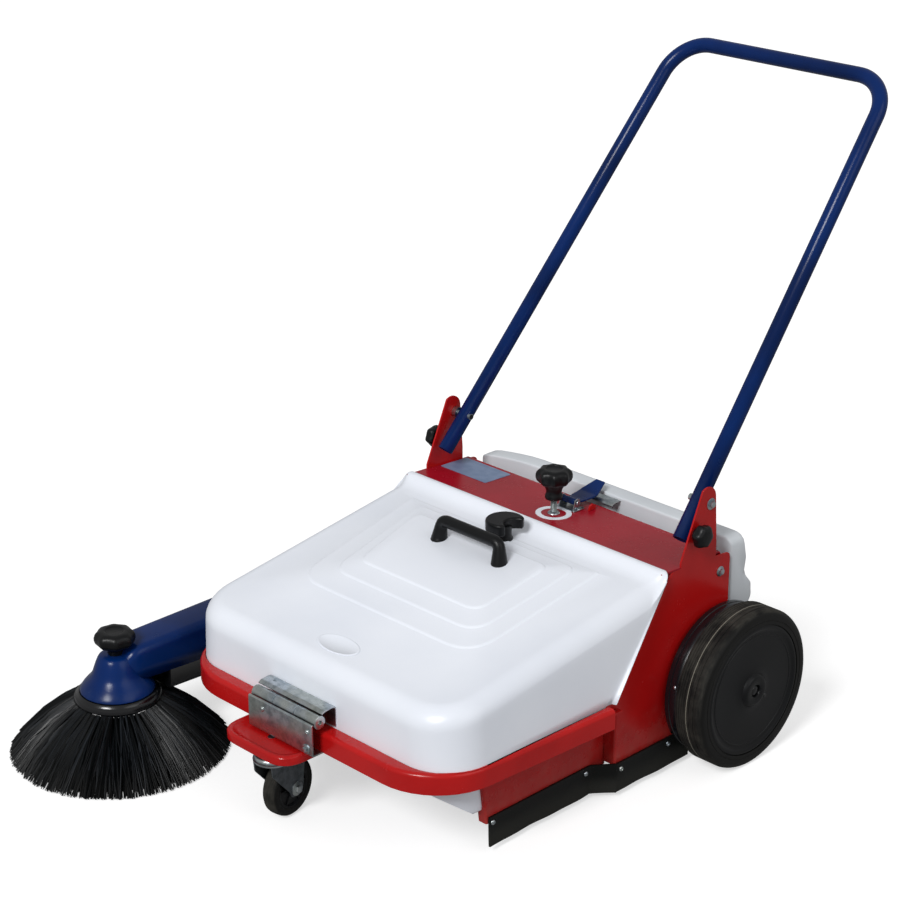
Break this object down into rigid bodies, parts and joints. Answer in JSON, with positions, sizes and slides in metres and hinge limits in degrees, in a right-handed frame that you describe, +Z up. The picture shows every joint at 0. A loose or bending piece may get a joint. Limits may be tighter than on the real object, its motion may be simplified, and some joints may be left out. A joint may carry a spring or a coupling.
{
  "type": "manual floor sweeper",
  "caption": "Push floor sweeper with a tipping front hopper, a side brush on a lifting arm, geared main brush, rear dust drawer, front caster and folding push handle.",
  "frame": {"origin": "on the floor, under the middle of the whole sweeper's box", "axes": "+Z up; +Y to the rear, towards the push handle; +X to the machine's left"},
  "size_m": [0.887, 1.2666, 0.961],
  "materials": {
    "red_paint": "glossy red powder coat",
    "white_plastic": "glossy white moulding",
    "blue_paint": "glossy dark blue coat",
    "black_plastic": "satin black moulding",
    "tyre_rubber": "worn solid rubber",
    "skirt_rubber": "matt black sheet",
    "zinc": "bright zinc plate",
    "steel": "plain turned or pressed steel",
    "bristle": "black polypropylene bristle",
    "nylon": "natural nylon",
    "belt_rubber": "round drive belt"
  },
  "bodies": {
    "side_arm": {"arm_cover": "black_plastic", "arm_housing": "blue_paint", "brush_belt": "belt_rubber"},
    "chassis": {"arm_pivot": "zinc", "axle_bearing_left": "nylon", "axle_bearing_right": "nylon", "brush_hood": "red_paint", "caster_kingpin": "zinc", "caster_lip": "red_paint", "deck_panel": "red_paint", "drawer_runner_left": "zinc", "drawer_runner_right": "zinc", "front_frame": "red_paint", "handle_bolt_left": "zinc", "handle_bolt_right": "zinc", "hinge_lower_leaf": "zinc", "latch_keeper": "zinc", "lever_bracket": "zinc", "rear_flap": "skirt_rubber", "rear_wall": "red_paint", "screw_bush": "zinc", "side_plate_left": "red_paint", "side_plate_right": "red_paint", "skirt_panel_left": "red_paint", "skirt_panel_right": "red_paint", "skirt_rubber_left": "skirt_rubber", "skirt_rubber_right": "skirt_rubber", "wheel_belt": "belt_rubber"},
    "wheel_left": {"axle_left": "steel", "drive_gear": "nylon", "hub_left": "black_plastic", "tyre_left": "tyre_rubber"},
    "wheel_right": {"axle_right": "steel", "drive_pulley": "nylon", "hub_right": "black_plastic", "tyre_right": "tyre_rubber"},
    "main_brush": {"brush_bristles": "bristle", "brush_core": "black_plastic", "brush_pinion": "nylon", "brush_shaft": "steel"},
    "caster_fork": {"caster_fork": "steel"},
    "caster_wheel": {"caster_hub": "black_plastic", "caster_tyre": "tyre_rubber"},
    "lever": {"clamp_lever": "blue_paint"},
    "drawer": {"dust_drawer": "white_plastic"},
    "handle_knob_left": {"handle_knob_left": "black_plastic"},
    "handle_knob_right": {"handle_knob_right": "black_plastic"},
    "handle": {"handle_tube": "blue_paint"},
    "height_knob": {"height_knob": "black_plastic"},
    "hopper": {"hinge_upper_leaf": "zinc", "hopper_cover": "white_plastic", "hopper_grip": "black_plastic", "hopper_tub": "white_plastic"},
    "latch": {"hopper_latch": "black_plastic"},
    "idler": {"idler_pulley": "nylon"},
    "side_brush": {"side_brush_bristles": "bristle", "side_brush_hub": "black_plastic", "side_brush_shaft": "steel"},
    "side_knob": {"side_brush_knob": "black_plastic"}
  },
  "joints": [
    {"name": "wheel_left_spin", "type": "hinge", "parent": "chassis", "child": "wheel_left", "pos_m": [0.0925, 0.176, 0.125], "axis": [1, 0, 0], "continuous": true},
    {"name": "wheel_right_spin", "type": "hinge", "parent": "chassis", "child": "wheel_right", "pos_m": [0.0925, 0.176, 0.125], "axis": [1, 0, 0], "continuous": true},
    {"name": "main_brush_spin", "type": "hinge", "parent": "chassis", "child": "main_brush", "pos_m": [0.0925, 0.08449, 0.096], "axis": [1, 0, 0], "continuous": true},
    {"name": "handle_fold", "type": "hinge", "parent": "chassis", "child": "handle", "pos_m": [0.0925, 0.1542, 0.4089], "axis": [-1, 0, 0], "range_deg": [-135, 0]},
    {"name": "handle_knob_left_turn", "type": "hinge", "parent": "chassis", "child": "handle_knob_left", "pos_m": [0.0925, 0.1237, 0.3701], "axis": [1, 0, 0], "continuous": true},
    {"name": "handle_knob_right_turn", "type": "hinge", "parent": "chassis", "child": "handle_knob_right", "pos_m": [0.0925, 0.1237, 0.3701], "axis": [1, 0, 0], "continuous": true},
    {"name": "drawer_slide", "type": "slide", "parent": "chassis", "child": "drawer", "axis": [0, 1, 0], "range_m": [0, 0.25]},
    {"name": "hopper_tip", "type": "hinge", "parent": "chassis", "child": "hopper", "pos_m": [0.0835, -0.4295, 0.19], "axis": [1, 0, 0], "range_deg": [0, 100]},
    {"name": "latch_turn", "type": "hinge", "parent": "hopper", "child": "latch", "pos_m": [0.0925, -0.0015, 0.352], "axis": [0, 0, 1], "range_deg": [0, 90]},
    {"name": "height_knob_turn", "type": "hinge", "parent": "chassis", "child": "height_knob", "pos_m": [0.0925, 0.1055, 0.401], "axis": [0, 0, 1], "continuous": true},
    {"name": "lever_lift", "type": "hinge", "parent": "chassis", "child": "lever", "pos_m": [0.0925, 0.1425, 0.3375], "axis": [1, 0, 0], "range_deg": [0, 80]},
    {"name": "side_arm_lift", "type": "hinge", "parent": "chassis", "child": "side_arm", "pos_m": [-0.2345, 0.0095, 0.16], "axis": [-1, 0, 0], "range_deg": [0, 10]},
    {"name": "idler_spin", "type": "hinge", "parent": "chassis", "child": "idler", "pos_m": [-0.18, 0.0095, 0.16], "axis": [1, 0, 0], "continuous": true},
    {"name": "side_brush_spin", "type": "hinge", "parent": "side_arm", "child": "side_brush", "pos_m": [-0.2735, -0.4635, 0.12], "axis": [0, 0, 1], "continuous": true},
    {"name": "side_knob_turn", "type": "hinge", "parent": "side_arm", "child": "side_knob", "pos_m": [-0.2735, -0.4635, 0.18], "axis": [0, 0, 1], "continuous": true},
    {"name": "caster_swivel", "type": "hinge", "parent": "chassis", "child": "caster_fork", "pos_m": [0.06106, -0.44201, 0.103], "axis": [0, 0, 1], "continuous": true},
    {"name": "caster_wheel_spin", "type": "hinge", "parent": "caster_fork", "child": "caster_wheel", "pos_m": [0.0555, -0.4105, 0.045], "axis": [0.9848, 0.1736, 0], "continuous": true}
  ],
  "couplings": [
    {"joint": "main_brush_spin", "follows": "wheel_left_spin", "ratio": -2},
    {"joint": "idler_spin", "follows": "wheel_right_spin", "ratio": 1.5455},
    {"joint": "side_brush_spin", "follows": "wheel_right_spin", "ratio": 1.7}
  ]
}
